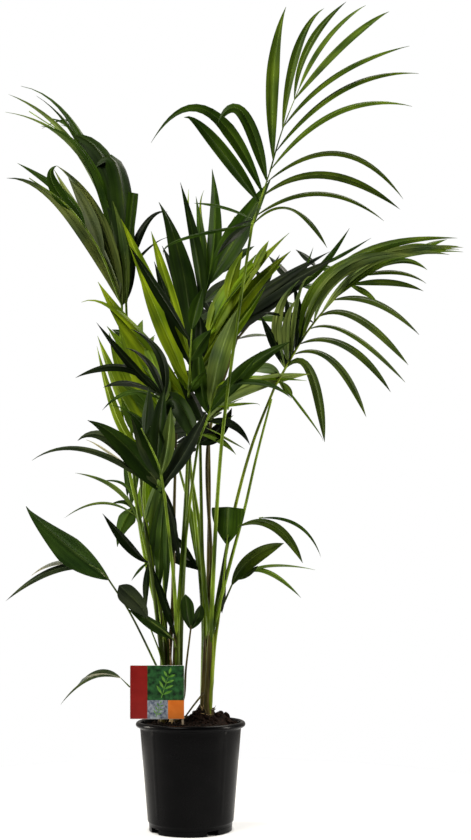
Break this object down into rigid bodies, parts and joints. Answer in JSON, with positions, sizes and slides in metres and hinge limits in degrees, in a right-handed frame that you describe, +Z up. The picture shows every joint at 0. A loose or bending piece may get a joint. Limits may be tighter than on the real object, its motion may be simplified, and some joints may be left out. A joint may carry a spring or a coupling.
{
  "type": "kentia palm in a pot",
  "caption": "Potted feather-leaved palm: slim stems clumped in a tapered nursery pot of soil, long arching pinnate fronds above and short split leaves low down.",
  "frame": {"origin": "centre of the pot's flat underside", "axes": "+Z up; +Y away from someone who faces the plant's front, where the label is; +X to their right"},
  "size_m": [0.9371, 0.7506, 1.5837],
  "materials": {
    "pot": "satin near-black nursery pot",
    "soil": "rough moist peat",
    "card": "glossy printed card",
    "stake": "pale plain plastic",
    "stem": "ringed and sheathed with dry fibre",
    "stalk": "smooth waxy green",
    "blade": "satin leaf"
  },
  "bodies": {
    "root": {"pot": "pot", "soil": "soil", "label_card": "card", "label_stake": "stake", "stem_left_back": "stem", "stem_left_front": "stem", "stem_rear": "stem", "stem_right_back": "stem", "stem_right_front": "stem", "stalk_centre": "stalk", "stalk_centre_right": "stalk", "stalk_cup_right": "stalk", "stalk_front_centre": "stalk", "stalk_front_fan": "stalk", "stalk_inner_right": "stalk", "stalk_left_arching": "stalk", "stalk_left_bright": "stalk", "stalk_left_fan": "stalk", "stalk_left_pleated": "stalk", "stalk_low_dark_left": "stalk", "stalk_low_front_left": "stalk", "stalk_low_inner": "stalk", "stalk_low_left": "stalk", "stalk_low_left_small": "stalk", "stalk_low_middle": "stalk", "stalk_low_right": "stalk", "stalk_mid_right": "stalk", "stalk_rear_left": "stalk", "stalk_rear_low": "stalk", "stalk_rear_right": "stalk", "stalk_thin_left": "stalk", "stalk_upper_right": "stalk", "frond_centre": "blade", "frond_centre_right": "blade", "frond_cup_right": "blade", "frond_droop_right": "blade", "frond_droop_right_thin": "blade", "frond_front_centre": "blade", "frond_front_fan": "blade", "frond_hanging_left": "blade", "frond_inner_right": "blade", "frond_left_arching": "blade", "frond_left_bright": "blade", "frond_left_fan": "blade", "frond_left_pleated": "blade", "frond_low_dark_left": "blade", "frond_low_front_left": "blade", "frond_low_inner": "blade", "frond_low_left": "blade", "frond_low_left_small": "blade", "frond_low_middle": "blade", "frond_low_right": "blade", "frond_mid_right": "blade", "frond_rear_left": "blade", "frond_rear_low": "blade", "frond_rear_right": "blade", "frond_thin_left": "blade", "frond_upper_right": "blade", "frond_upper_right_top": "blade"}
  },
  "joints": []
}
